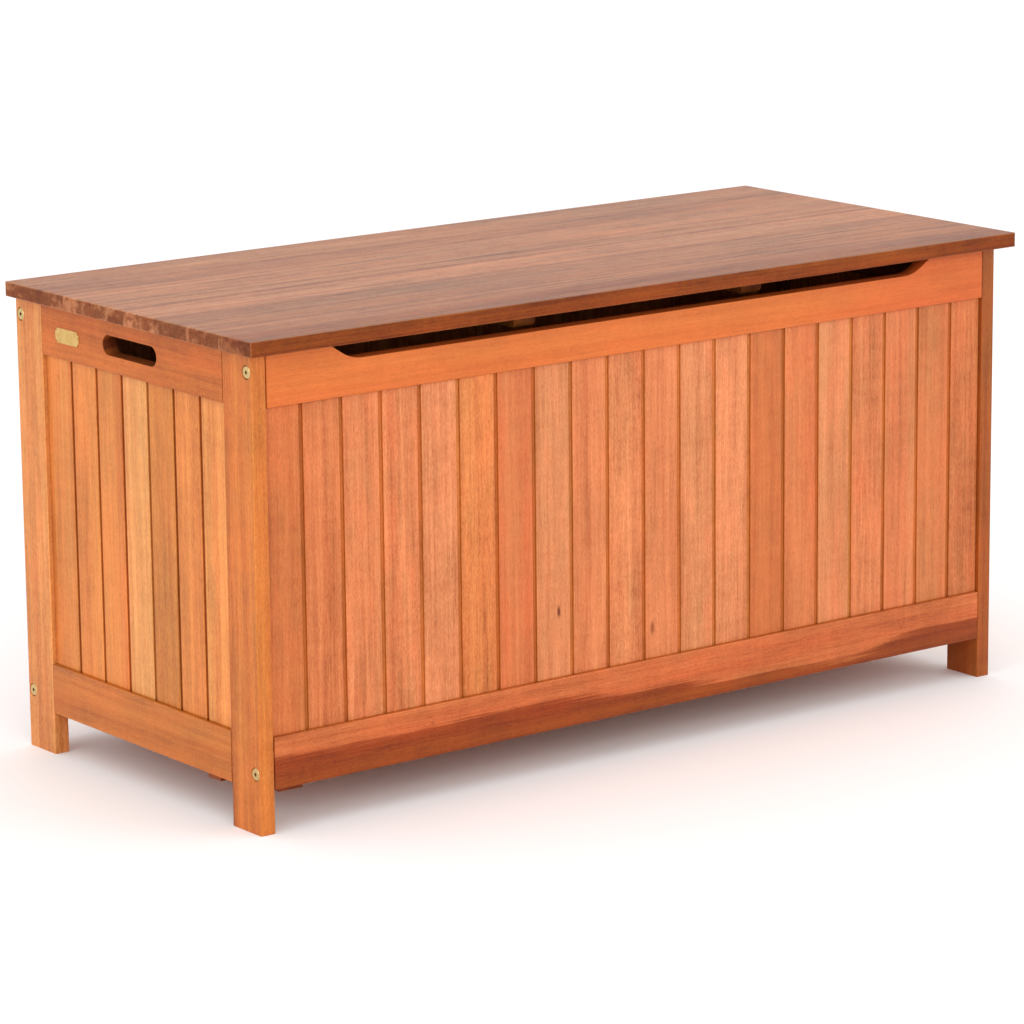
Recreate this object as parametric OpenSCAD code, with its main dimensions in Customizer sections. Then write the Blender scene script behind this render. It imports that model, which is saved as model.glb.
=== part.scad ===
// Slatted wooden deck storage box with a hinged lid.
// Millimetres, +Z up. The long side lies along X and the front faces -Y.
// The origin is on the ground, under the middle of the whole box.

/* [Case] */
// Length over the outside faces of the legs
case_l = 1140; // [1120:1:1160]
// Depth over the outside faces of the legs
case_d = 506; // [490:1:520]
// Height of the legs
case_h = 563.5; // [520:0.5:600]
// Thickness of the legs and rails
frame_t = 20; // [19:1:24]
// Width of each leg, seen from the side
leg_w = 58; // [50:1:64]
// Rounding of the long edges of legs and rails
edge_r = 1.5; // [0.5:0.5:2.5]
// Gap between the front and back panels and the legs
panel_gap = 0.6; // [0.3:0.1:1]

/* [Rails] */
// Height of the bottom rails above the ground
bottom_rail_z = 52; // [45:1:70]
// Height of the bottom rails themselves
bottom_rail_h = 62; // [55:1:70]
// Height of the top rails themselves
top_rail_h = 64.5; // [60:0.5:72]
// Depth of the groove that holds the board ends
groove_depth = 10; // [6:1:12]
// Depth of the finger cut-out in the front top rail
finger_depth = 22; // [14:1:26]
// Distance from the leg's outer face to the start of the cut-out
finger_inset = 105; // [80:5:160]
// Length of each handle slot
handle_l = 116; // [90:2:130]
// Height of each handle slot
handle_h = 24; // [20:1:28]

/* [Boards] */
// Thickness of the tongue and groove boards
board_t = 9; // [8:0.5:10]
// Distance from one board to the next
board_pitch = 55.5; // [55:0.1:56]
// Width of the shadow gap between two boards
board_gap = 5.5; // [2:0.25:6]

/* [Lid] */
// Thickness of the lid panel
lid_t = 18; // [16:1:22]
// Overhang of the lid past the front of the case
lid_front = 24; // [15:1:35]
// Overhang of the lid past each end of the case
lid_side = 15; // [8:1:25]
// Gap between the case and the closed lid
lid_gap = 0.5; // [0.4:0.1:1]
// Angle at which the stays stop the lid
lid_open = 95; // [85:1:100]
// Distance of each lid batten from the middle of the pair
batten_x = 175; // [120:5:300]
// Distance of the pair of battens to the right of the middle of the lid
batten_shift = 9; // [0:1:20]

/* [Fittings] */
// Distance of each hinge from the middle of the box
hinge_x = 400; // [250:5:460]
// Length of a hinge
hinge_l = 76; // [60:2:90]
// Distance from the hinge pin to both pivots of a lid stay
stay_reach = 150; // [130:5:170]
// Height of the connecting bolts above the rail's lower edge or below its upper edge
bolt_inset = 20; // [18:1:24]

/* [Hidden] */
$fn = 48;
hair = 0.01;
through = 1;
frame_clear = 0.2;

// Rails and panels
top_rail_z = case_h - top_rail_h;
bottom_rail_top = bottom_rail_z + bottom_rail_h;
front_rail_l = case_l - 2 * frame_t - 2 * panel_gap;
side_rail_l = case_d - 2 * leg_w;
groove_t = board_t + 0.4;
finger_bend_r = 50;
finger_slope = 33;
bend_run = finger_bend_r * sin(finger_slope);
bend_rise = finger_bend_r * (1 - cos(finger_slope));
slope_run = (finger_depth - bend_rise) / tan(finger_slope);

// Hinge line, behind the case and level with the joint under the lid
knuckle_r = 3.8;
hinge_out = 4.2;
hinge_z = case_h + lid_gap / 2;
centre_y = (lid_front - hinge_out - knuckle_r) / 2;
front_y = centre_y - case_d / 2;
back_y = centre_y + case_d / 2;
hinge_y = back_y + hinge_out;
inside_l = case_l - 2 * frame_t;

// Boards: how many, and how far they run into the rails
front_boards = 20;
side_boards = 7;
board_end_gap = 0.5;
board_z = bottom_rail_top - groove_depth + board_end_gap;
board_l = top_rail_z + groove_depth - board_end_gap - board_z;
board_edge_gap = 0.4;
front_span = inside_l - 2 * board_edge_gap;
side_span = side_rail_l - 2 * board_edge_gap;
tongue_t = 5;
tongue_l = board_gap + 2.6;
tongue_slot_t = tongue_t + 0.4;
tongue_slot_l = tongue_l - board_gap + 0.4;
board_chamfer = 0.6;

// Floor
ledger = 16;
ledger_z = 46;
floor_t = 10;
floor_z = ledger_z + ledger;
floor_gap = 6;
floor_boards_n = 18;
floor_inset = 1;
ledger_screw_xs = [-480, -240, 0, 240, 480];
ledger_screw_ys = [-120, 120];
ledger_screw_z = ledger_z + ledger / 2 + 2;
strip_z = ledger_z - board_t;
strip_w = 34;
strip_end_w = 27;
strip_l = 78.5;
strip_end_l = 61;
strip_x = 48;
strip_y = 34;

// Lid
lid_l = case_l + 2 * lid_side;
lid_y = front_y - lid_front;
lid_w = back_y - lid_y;
lid_z = case_h + lid_gap;
lid_edge_r = 1.8;
lid_corner_r = 4;
batten_w = 32;
batten_t = 20;
batten_clear = 2;
batten_y = front_y + frame_t + batten_clear;
batten_screw_inset = 30;
batten_l = 440;
batten_chamfer = 6;

// Butt hinges
leaf_t = 1.5;
leaf_w = 25;
leaf_r = 3;
hinge_pin_r = 2;
knuckles = 5;
knuckle_gap = 0.4;
knuckle_l = (hinge_l - (knuckles - 1) * knuckle_gap) / knuckles;
leaf_screw_x = 27;
leaf_screw_y = [-leaf_w / 2 - 2, -leaf_w / 2 + 3, -leaf_w / 2 - 2];
pin_head_r = 3;
pin_head_t = 1.2;

// Screws
screw_r = 1.75;
screw_head_r = 3.5;
screw_head_h = 2;
screw_tip = 2;
screw_slot_l = 3.6;
screw_slot_w = 0.8;
screw_clear = 0.1;
hinge_screw_l = 14;
batten_screw_l = 30;
ledger_screw_l = 30;
stay_screw_l = 14;

// Connecting bolts and barrel nuts
bolt_r = 3;
bolt_hole_r = 3.5;
bolt_head_r = 7.5;
bolt_head_t = 2.4;
bolt_recess_r = 8.2;
bolt_recess = 2.8;
bolt_l = 56;
bolt_hex = 4;
bolt_hex_depth = 3.5;
bolt_head_ease = 0.6;
nut_r = 5;
nut_l = 15;
nut_x = 35;
nut_slot_w = 1.2;
nut_slot_depth = 1.2;
bolt_past_nut = 12;
bolt_zs = [bottom_rail_z + bolt_inset, case_h - bolt_inset - 2];

// Dowels in the end frames
dowel_r = 4;
dowel_l = 30;
dowel_fit = 0.05;
dowel_zs = [bottom_rail_z + 13, bottom_rail_z + 38, top_rail_z + 24, top_rail_z + 50];
dowel_bore_l = dowel_l + 1;

// Lid stays: both pivots are stay_reach from the hinge pin, so the arm turns half as far as the lid
stay_drop = 12;
stud_drop = 48;
stud_z = case_h - stud_drop;
pivot_angle = asin((hinge_z - lid_z + stay_drop) / stay_reach);
stud_angle = asin((hinge_z - stud_z) / stay_reach);
pivot_y = hinge_y - stay_reach * cos(pivot_angle);
pivot_z = lid_z - stay_drop;
stud_y = hinge_y - stay_reach * cos(stud_angle);
stay_rest = 2 * stay_reach * sin((stud_angle - pivot_angle) / 2);
stay_stretch = 2 * stay_reach * sin((stud_angle - pivot_angle + lid_open) / 2);
arm_angle = atan2(stud_y - pivot_y, pivot_z - stud_z);
arm_w = 14;
arm_t = 2;
arm_x = 3;
arm_end = 9;
slot_w = 5.6;
slot_slack = 0.2;
stud_r = 2.5;
pivot_hole_r = 2.55;
stud_head_r = 5;
stud_head_t = 1.6;
plate_t = 2;
plate_l = 32;
plate_w = 16;
plate_screw = 10;

// Brackets under the lid that carry the arms
bracket_l = 34;
bracket_w = 18;
bracket_screw = 10;
bracket_screw_x = 11;
tab_x = frame_t + arm_x + arm_t + 0.5;
tab_r = 8;
rivet_head_r = 4.5;

// Name plate
tag_l = 52;
tag_h = 18;
tag_t = 0.8;
tag_corner_r = 4;
tag_from_front = 389;
tag_drop = 35.5;
tag_y = front_y + tag_from_front;
tag_z = case_h - tag_drop;
tag_pin_inset = 3.2;
tag_pin_r = 1.3;

wood_leg = "peru";
wood_rail = "coral";
wood_board = "salmon";
wood_lid = "rosybrown";
wood_inside = "burlywood";

function numbered(stem, n) = [for (i = [1:n]) str(stem, "_", i)];

// ---- shared shapes ----

// Rectangle with rounded corners, centred
module eased_rect(w, h, r) {
    square([w - 2 * r, h], center = true);
    square([w, h - 2 * r], center = true);
    for (sx = [-1, 1], sy = [-1, 1])
        translate([sx * (w / 2 - r), sy * (h / 2 - r)]) circle(r);
}

// Box with its lowest corner at the origin and its four long edges rounded
module bar_z(size, r) {
    translate([size.x / 2, size.y / 2, 0]) linear_extrude(size.z) eased_rect(size.x, size.y, r);
}

module bar_x(size, r) {
    translate([0, size.y / 2, size.z / 2]) rotate([90, 0, 90])
        linear_extrude(size.x) eased_rect(size.y, size.z, r);
}

module bar_y(size, r) {
    translate([size.x / 2, size.y, size.z / 2]) rotate([90, 0, 0])
        linear_extrude(size.y) eased_rect(size.x, size.z, r);
}

// Row of two round ends with straight sides, along X
module stadium(l, w) {
    square([l - w, w], center = true);
    for (s = [-1, 1]) translate([s * (l - w) / 2, 0]) circle(w / 2);
}

// Round bar from z = 0 upwards
module rod(r, l) {
    cylinder(r = r, h = l);
}

// Countersunk screw, head at z = 0 and point down
module screw(l) {
    difference() {
        union() {
            translate([0, 0, -screw_head_h]) cylinder(r1 = screw_r, r2 = screw_head_r, h = screw_head_h);
            translate([0, 0, screw_tip - l]) rod(screw_r, l - screw_tip - screw_head_h + hair);
            translate([0, 0, -l]) cylinder(r1 = 0.4, r2 = screw_r, h = screw_tip + hair);
        }
        for (turn = [0, 90]) rotate(turn) cube([screw_slot_l, screw_slot_w, 2], center = true);
    }
}

// Hole that a screw sits in: pilot hole and countersink, head at z = 0
module screw_hole(l) {
    translate([0, 0, -l - 0.5]) rod(screw_r + screw_clear, l + 0.5 + through);
    translate([0, 0, -screw_head_h - screw_clear])
        cylinder(r1 = screw_r + screw_clear, r2 = screw_head_r + 0.3, h = screw_head_h + 0.3);
}

// Puts a child at a place on both ends of the box: side -1 is the left and 1 the right
module at_side(side) {
    if (side < 0) children();
    else mirror([1, 0, 0]) children();
}

// Left end of the box: x counts inwards from the outer face of the left legs
module from_left() {
    translate([-case_l / 2, 0, 0]) children();
}

// Puts a child at the front, or turned round to the back: y counts inwards from the outer face
module at_face(face) {
    if (face < 0) translate([0, front_y, 0]) children();
    else translate([0, back_y, 0]) mirror([0, 1, 0]) children();
}

// ---- legs and rails ----

// Cross-drilled dowel row, at z = 0 between two parts that meet at y = 0
module dowel_row(r, l) {
    for (z = dowel_zs) translate([frame_t / 2, -l / 2, z]) rotate([-90, 0, 0]) rod(r, l);
}

module leg(side, face) {
    color(wood_leg) at_side(side) from_left() at_face(face) difference() {
        bar_z([frame_t, leg_w, case_h], edge_r);
        for (z = bolt_zs) translate([-through, frame_t / 2, z]) rotate([0, 90, 0]) {
            rod(bolt_hole_r, frame_t + 2 * through);
            rod(bolt_recess_r, bolt_recess + through);
        }
        translate([0, leg_w, 0]) dowel_row(dowel_r + dowel_fit, dowel_bore_l);
    }
}

// Bores in the two ends of a front or back rail for the bolt and its barrel nut
module bolt_bores(z) {
    for (side = [-1, 1]) at_side(side) from_left() translate([frame_t - through, frame_t / 2, z]) {
        rotate([0, 90, 0]) rod(bolt_hole_r, nut_x + bolt_past_nut);
        translate([nut_x + through, -nut_l / 2, 0]) rotate([-90, 0, 0]) rod(nut_r + 0.1, frame_t);
    }
}

// Groove along a rail for the ends of the boards; it opens at z = 0 and runs up or down
module board_groove_x(up) {
    translate([-case_l / 2, (frame_t - groove_t) / 2, up ? 0 : -groove_depth])
        translate([0, 0, up ? -through : 0]) cube([case_l, groove_t, groove_depth + through]);
}

module board_groove_y(up) {
    translate([(frame_t - groove_t) / 2, 0, up ? 0 : -groove_depth])
        translate([0, 0, up ? -through : 0]) cube([groove_t, case_d, groove_depth + through]);
}

// Front or back rail without its bores; y = 0 is its outer face
module long_rail(z, h) {
    translate([-front_rail_l / 2, 0, z]) bar_x([front_rail_l, frame_t, h], edge_r);
}

// Half of the finger cut-out, from the middle of the box to its sloping end at the left
module finger_half() {
    low = case_h - finger_depth;
    straight_x = case_l / 2 - finger_inset - bend_run - slope_run;
    bend_z = low + bend_rise;
    translate([-straight_x, low]) square([straight_x + hair, finger_depth + through]);
    polygon([
        [-straight_x + hair, bend_z],
        [-straight_x + hair, case_h + through],
        [-straight_x - bend_run - slope_run - through / tan(finger_slope), case_h + through],
        [-straight_x - bend_run, bend_z]
    ]);
    intersection() {
        translate([-straight_x, low + finger_bend_r]) circle(finger_bend_r, $fn = 180);
        translate([-straight_x - bend_run, low]) square([bend_run + hair, bend_z - low + hair]);
    }
}

module front_top_rail() {
    color(wood_rail) at_face(-1) difference() {
        long_rail(top_rail_z, top_rail_h);
        translate([0, 0, top_rail_z]) board_groove_x(true);
        bolt_bores(bolt_zs[1]);
        for (half = [0, 1]) mirror([half, 0, 0]) translate([0, frame_t + through, 0])
            rotate([90, 0, 0]) linear_extrude(frame_t + 2 * through) finger_half();
    }
}

module front_bottom_rail() {
    color(wood_rail) at_face(-1) difference() {
        long_rail(bottom_rail_z, bottom_rail_h);
        translate([0, 0, bottom_rail_top]) board_groove_x(false);
        bolt_bores(bolt_zs[0]);
        ledger_screw_holes();
    }
}

module back_top_rail() {
    color(wood_rail) difference() {
        at_face(1) difference() {
            long_rail(top_rail_z, top_rail_h);
            translate([0, 0, top_rail_z]) board_groove_x(true);
            bolt_bores(bolt_zs[1]);
        }
        for (x = [-hinge_x, hinge_x]) translate([x, hinge_y, hinge_z]) case_leaf_pocket();
    }
}

module back_bottom_rail() {
    color(wood_rail) at_face(1) difference() {
        long_rail(bottom_rail_z, bottom_rail_h);
        translate([0, 0, bottom_rail_top]) board_groove_x(false);
        bolt_bores(bolt_zs[0]);
        ledger_screw_holes();
    }
}

// Rail of an end frame without its details; x = 0 is its outer face
module end_rail(z, h) {
    translate([0, front_y + leg_w, z]) bar_y([frame_t, side_rail_l, h], edge_r);
}

module end_rail_dowels() {
    for (face = [-1, 1]) at_face(face) translate([0, leg_w, 0])
        dowel_row(dowel_r + dowel_fit, dowel_bore_l);
}

module end_top_rail(side) {
    color(wood_rail) at_side(side) from_left() difference() {
        end_rail(top_rail_z, top_rail_h);
        translate([0, front_y, top_rail_z]) board_groove_y(true);
        end_rail_dowels();
        translate([-through, centre_y, top_rail_z + top_rail_h / 2]) rotate([90, 0, 90])
            linear_extrude(frame_t + 2 * through) stadium(handle_l, handle_h);
        wall_plate_screws() screw_hole(stay_screw_l);
    }
}

module end_bottom_rail(side) {
    color(wood_rail) at_side(side) from_left() difference() {
        end_rail(bottom_rail_z, bottom_rail_h);
        translate([0, front_y, bottom_rail_top]) board_groove_y(false);
        end_rail_dowels();
        end_ledger_screw_holes();
    }
}

// ---- boards ----

// Outline of one board, seen from its end: outer face at y = 0, from x = 0 to x = w
module board_outline(w, tongue, slot) {
    difference() {
        polygon([
            [board_chamfer, 0],
            [w - board_chamfer, 0],
            [w, board_chamfer],
            [w, board_t - board_chamfer],
            [w - board_chamfer, board_t],
            [board_chamfer, board_t],
            [0, board_t - board_chamfer],
            [0, board_chamfer]
        ]);
        if (slot) translate([-through, (board_t - tongue_slot_t) / 2])
            square([tongue_slot_l + through, tongue_slot_t]);
    }
    if (tongue) translate([w - hair, (board_t - tongue_t) / 2]) square([tongue_l + hair, tongue_t]);
}

// Board number i of n across a span: the two outer ones are cut to fit
module board(i, n, span) {
    outer_w = (span - (n - 2) * board_pitch - board_gap) / 2;
    x = i == 1 ? 0 : outer_w + board_gap + (i - 2) * board_pitch;
    w = i == 1 || i == n ? outer_w : board_pitch - board_gap;
    translate([x, 0, board_z]) linear_extrude(board_l) board_outline(w, i < n, i > 1);
}

// Board in the front or back panel, counted from the left
module long_board(i) {
    translate([-front_span / 2, (frame_t - board_t) / 2, 0]) board(i, front_boards, front_span);
}

// Board in an end panel, counted from the back
module end_board(i) {
    translate([(frame_t - board_t) / 2, centre_y + side_span / 2, 0]) rotate(-90)
        board(i, side_boards, side_span);
}

module front_board(i) {
    color(wood_board) at_face(-1) long_board(i);
}

module left_board(i) {
    color(wood_board) from_left() end_board(i);
}

module right_boards() {
    color(wood_board) at_side(1) from_left() for (i = [1:side_boards]) end_board(i);
}

module back_boards() {
    color(wood_board) at_face(1) for (i = [1:front_boards]) long_board(i);
}

// ---- floor ----

// Pilot holes and countersinks through a front or back ledger into its rail
module ledger_screw_holes() {
    for (x = ledger_screw_xs) translate([x, frame_t + ledger, ledger_screw_z])
        rotate([-90, 0, 0]) screw_hole(ledger_screw_l);
}

// The same at an end of the box
module end_ledger_screw_holes() {
    for (dy = ledger_screw_ys) translate([frame_t + ledger, centre_y + dy, ledger_screw_z])
        rotate([0, 90, 0]) screw_hole(ledger_screw_l);
}

module floor_ledgers() {
    long_l = inside_l - 2 * floor_inset;
    end_l = case_d - 2 * frame_t - 2 * ledger - 2 * floor_inset;
    color(wood_inside) {
        for (face = [-1, 1]) at_face(face) difference() {
            translate([-long_l / 2, frame_t, ledger_z]) cube([long_l, ledger, ledger]);
            ledger_screw_holes();
        }
        for (side = [-1, 1]) at_side(side) from_left() difference() {
            translate([frame_t, centre_y - end_l / 2, ledger_z]) cube([ledger, end_l, ledger]);
            end_ledger_screw_holes();
        }
    }
}

module floor_boards() {
    step = (inside_l - 2 * floor_inset + floor_gap) / floor_boards_n;
    l = case_d - 2 * frame_t - 2 * floor_inset;
    color(wood_inside) for (i = [0:floor_boards_n - 1])
        translate([-inside_l / 2 + floor_inset + i * step, front_y + frame_t + floor_inset, floor_z])
            bar_y([step - floor_gap, l, floor_t], 1);
}

// Two offcuts of board under the front left corner of the floor, fixed to the ledgers from below
module corner_floor_strips() {
    color(wood_inside) from_left() translate([0, front_y, strip_z]) {
        translate([strip_x, strip_y, 0]) bar_y([strip_w, strip_l, board_t], 1);
        translate([frame_t + 1, strip_y + strip_l + 0.5, 0])
            bar_x([strip_end_l, strip_end_w, board_t], 1);
    }
}

// ---- lid ----

module lid_panel() {
    color(wood_lid) difference() {
        intersection() {
            translate([-lid_l / 2, lid_y, lid_z]) bar_x([lid_l, lid_w, lid_t], lid_edge_r);
            translate([-lid_l / 2, lid_y, lid_z]) bar_y([lid_l, lid_w, lid_t], lid_edge_r);
            translate([-lid_l / 2, lid_y, lid_z]) bar_z([lid_l, lid_w, lid_t], lid_corner_r);
        }
        for (x = [-hinge_x, hinge_x]) translate([x, hinge_y, hinge_z]) lid_leaf_pocket();
        for (side = [-1, 1]) {
            batten_screw_holes(side);
            at_side(side) from_left() bracket_screws() screw_hole(stay_screw_l);
        }
    }
}

module batten_screw_holes(side) {
    batten_screws(side) screw_hole(batten_screw_l);
}

// Puts a child at each screw of a lid batten, pointing up into the lid
module batten_screws(side) {
    for (dy = [batten_screw_inset, batten_l / 2, batten_l - batten_screw_inset])
        translate([batten_shift + side * batten_x, batten_y + dy, lid_z - batten_t])
            rotate([180, 0, 0]) children();
}

module lid_batten(side) {
    middle = batten_shift + side * batten_x;
    color(wood_inside) difference() {
        translate([middle - batten_w / 2, batten_y, lid_z - batten_t])
            bar_y([batten_w, batten_l, batten_t], edge_r);
        for (end = [0, 1]) translate([middle, batten_y + end * batten_l, lid_z - batten_t])
            rotate([45, 0, 0]) cube([2 * batten_w, batten_chamfer, batten_chamfer], center = true);
        batten_screw_holes(side);
    }
}

// ---- hinges: x = 0 is the middle of a hinge, y = z = 0 its pin ----

// Knuckles first, third and fifth belong to the case and the others to the lid
module knuckle_row(first) {
    for (k = [first:2:knuckles - 1])
        translate([-hinge_l / 2 + k * (knuckle_l + knuckle_gap), 0, 0]) children();
}

// Leaf with its top face at z = 0, from the hinge line forwards; first picks its knuckles
module leaf(first) {
    difference() {
        union() {
            translate([0, -hinge_out - leaf_w / 2, 0]) linear_extrude(leaf_t)
                eased_rect(hinge_l, leaf_w, leaf_r);
            knuckle_row(first) translate([0, -hinge_out - leaf_r, 0])
                cube([knuckle_l, hinge_out + leaf_r, leaf_t]);
        }
        leaf_screws() screw_hole(hinge_screw_l);
    }
}

// Puts a child at each screw of a leaf, head in the plane z = leaf_t
module leaf_screws() {
    for (k = [-1:1]) translate([k * leaf_screw_x, leaf_screw_y[k + 1] - hinge_out, leaf_t])
        children();
}

module knuckle_tubes(first) {
    knuckle_row(first) rotate([0, 90, 0]) rod(knuckle_r, knuckle_l);
}

module pin_bore(r) {
    translate([-hinge_l, 0, 0]) rotate([0, 90, 0]) rod(r, 2 * hinge_l);
}

module case_leaf() {
    difference() {
        union() {
            translate([0, 0, -lid_gap / 2 - leaf_t]) leaf(0);
            knuckle_tubes(0);
        }
        pin_bore(hinge_pin_r + 0.02);
    }
}

module lid_leaf() {
    difference() {
        union() {
            translate([0, 0, lid_gap / 2 + leaf_t]) mirror([0, 0, 1]) leaf(1);
            knuckle_tubes(1);
        }
        pin_bore(hinge_pin_r + 0.05);
    }
}

// Shallow pocket in the wood that a leaf and its screws lie in
module leaf_pocket() {
    translate([-hinge_l / 2 - frame_clear, -hinge_out - leaf_w - frame_clear, 0])
        cube([hinge_l + 2 * frame_clear, leaf_w + frame_clear + through, leaf_t + through]);
    leaf_screws() screw_hole(hinge_screw_l);
}

module case_leaf_pocket() {
    translate([0, 0, -lid_gap / 2 - leaf_t]) leaf_pocket();
}

module lid_leaf_pocket() {
    translate([0, 0, lid_gap / 2 + leaf_t]) mirror([0, 0, 1]) leaf_pocket();
}

module each_hinge() {
    for (x = [-hinge_x, hinge_x]) translate([x, hinge_y, hinge_z]) children();
}

module hinge_case_leaves() {
    color("silver") each_hinge() case_leaf();
}

module hinge_lid_leaves() {
    color("silver") each_hinge() lid_leaf();
}

module hinge_pins() {
    color("gainsboro") each_hinge() {
        translate([-hinge_l / 2 - 0.1, 0, 0]) rotate([0, 90, 0]) rod(hinge_pin_r, hinge_l + 0.2);
        for (s = [-1, 1]) translate([s * (hinge_l / 2 + 0.1 + pin_head_t / 2), 0, 0])
            rotate([0, 90, 0]) cylinder(r = pin_head_r, h = pin_head_t, center = true);
    }
}

// ---- lid stays ----

// Slotted arm lying in the plane x = 0, pivot hole at the origin and slot towards -Z
module arm_blank() {
    blank_l = stay_stretch + arm_end + arm_w / 2;
    slot_l = stay_stretch + slot_slack - stay_rest + 1 + slot_w;
    rotate([90, 0, 90]) linear_extrude(arm_t) difference() {
        translate([0, (arm_w - blank_l) / 2]) rotate(90) stadium(blank_l, arm_w);
        circle(pivot_hole_r);
        translate([0, -(stay_rest - 1 + stay_stretch + slot_slack) / 2]) rotate(90)
            stadium(slot_l, slot_w);
    }
}

module stay_arm(side) {
    color("silver") at_side(side) from_left() translate([frame_t + arm_x, pivot_y, pivot_z])
        rotate([arm_angle, 0, 0]) arm_blank();
}

// Puts a child at each screw of a lid bracket, pointing up into the lid
module bracket_screws() {
    for (dy = [-bracket_screw, bracket_screw])
        translate([tab_x + bracket_screw_x, pivot_y + dy, lid_z - plate_t])
            rotate([180, 0, 0]) children();
}

// Angle bracket under the lid with the arm's pivot riveted into its tab
module lid_bracket() {
    difference() {
        union() {
            translate([tab_x, pivot_y - bracket_l / 2, lid_z - plate_t])
                cube([bracket_w, bracket_l, plate_t]);
            translate([tab_x, pivot_y, pivot_z]) rotate([90, 0, 90]) linear_extrude(plate_t) {
                circle(tab_r);
                translate([-tab_r, 0]) square([2 * tab_r, stay_drop]);
            }
            translate([tab_x - arm_t - 1, pivot_y, pivot_z]) rotate([0, 90, 0]) rod(stud_r, arm_t + 2);
            translate([tab_x - arm_t - 2, pivot_y, pivot_z]) rotate([0, 90, 0]) rod(rivet_head_r, 1);
        }
        bracket_screws() screw_hole(stay_screw_l);
    }
}

module stay_lid_brackets() {
    color("silver") for (side = [-1, 1]) at_side(side) from_left() lid_bracket();
}

// Puts a child at each screw of a wall plate, pointing out into the end rail
module wall_plate_screws() {
    for (dy = [-plate_screw, plate_screw]) translate([frame_t + plate_t, stud_y + dy, stud_z])
        rotate([0, 90, 0]) children();
}

// Plate on the end rail with the headed stud that the arm slides on
module wall_plate() {
    difference() {
        translate([frame_t, stud_y, stud_z]) rotate([90, 0, 90]) linear_extrude(plate_t)
            eased_rect(plate_l, plate_w, 3);
        wall_plate_screws() screw_hole(stay_screw_l);
    }
    translate([frame_t, stud_y, stud_z]) rotate([0, 90, 0]) {
        rod(stud_r, arm_x + arm_t + 1);
        translate([0, 0, arm_x + arm_t + 0.7]) rod(stud_head_r, stud_head_t);
    }
}

module stay_wall_plates() {
    color("silver") for (side = [-1, 1]) at_side(side) from_left() wall_plate();
}

// ---- fasteners ----

// Flat-headed bolt with a hexagon socket: the underside of its head is at z = 0, its tip at z = bolt_l
module connecting_bolt() {
    difference() {
        union() {
            rod(bolt_r, bolt_l);
            translate([0, 0, bolt_head_ease - bolt_head_t])
                rod(bolt_head_r, bolt_head_t - bolt_head_ease);
            translate([0, 0, -bolt_head_t])
                cylinder(r1 = bolt_head_r - 0.9, r2 = bolt_head_r, h = bolt_head_ease);
        }
        translate([0, 0, -bolt_head_t - through])
            cylinder(r = bolt_hex / sqrt(3), h = through + bolt_hex_depth, $fn = 6);
    }
}

// Puts a child at each corner of the case at both bolt heights, pointing inwards along X
module each_bolt() {
    for (side = [-1, 1], face = [-1, 1], z = bolt_zs) at_side(side) from_left() at_face(face)
        translate([0, frame_t / 2, z]) children();
}

module connecting_bolts() {
    color("goldenrod") each_bolt() translate([bolt_recess, 0, 0]) rotate([0, 90, 0]) connecting_bolt();
}

module barrel_nuts() {
    color("silver") each_bolt() translate([frame_t + nut_x, -nut_l / 2, 0]) difference() {
        rotate([-90, 0, 0]) rod(nut_r, nut_l);
        translate([-2 * nut_r, nut_l / 2, 0]) rotate([0, 90, 0]) rod(bolt_r + 0.05, 4 * nut_r);
        translate([0, nut_l, 0]) cube([2.4 * nut_r, 2 * nut_slot_depth, nut_slot_w], center = true);
    }
}

module dowels() {
    color(wood_inside) for (side = [-1, 1], face = [-1, 1]) at_side(side) from_left()
        at_face(face) translate([0, leg_w, 0]) dowel_row(dowel_r, dowel_l);
}

module case_screws() {
    color("silver") {
        each_hinge() translate([0, 0, -lid_gap / 2 - leaf_t]) leaf_screws() screw(hinge_screw_l);
        for (face = [-1, 1]) at_face(face) for (x = ledger_screw_xs)
            translate([x, frame_t + ledger, ledger_screw_z]) rotate([-90, 0, 0])
                screw(ledger_screw_l);
        for (side = [-1, 1]) at_side(side) from_left() {
            for (dy = ledger_screw_ys)
                translate([frame_t + ledger, centre_y + dy, ledger_screw_z])
                    rotate([0, 90, 0]) screw(ledger_screw_l);
            wall_plate_screws() screw(stay_screw_l);
        }
    }
}

module lid_screws() {
    color("silver") {
        each_hinge() translate([0, 0, lid_gap / 2 + leaf_t]) mirror([0, 0, 1])
            leaf_screws() screw(hinge_screw_l);
        for (side = [-1, 1]) {
            batten_screws(side) screw(batten_screw_l);
            at_side(side) from_left() bracket_screws() screw(stay_screw_l);
        }
    }
}

// Blank brass plate with scooped corners and a round-headed pin at each end
module name_plate() {
    color("gold") from_left() translate([0, tag_y, tag_z]) rotate([90, 0, -90]) {
        linear_extrude(tag_t) difference() {
            square([tag_l, tag_h], center = true);
            for (sx = [-1, 1], sy = [-1, 1]) translate([sx * tag_l / 2, sy * tag_h / 2])
                circle(tag_corner_r);
        }
        for (sx = [-1, 1]) translate([sx * (tag_l / 2 - tag_pin_inset), 0, tag_t]) intersection() {
            sphere(tag_pin_r);
            translate([0, 0, tag_pin_r]) cube(2 * tag_pin_r, center = true);
        }
    }
}

// ---- assembly ----

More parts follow.
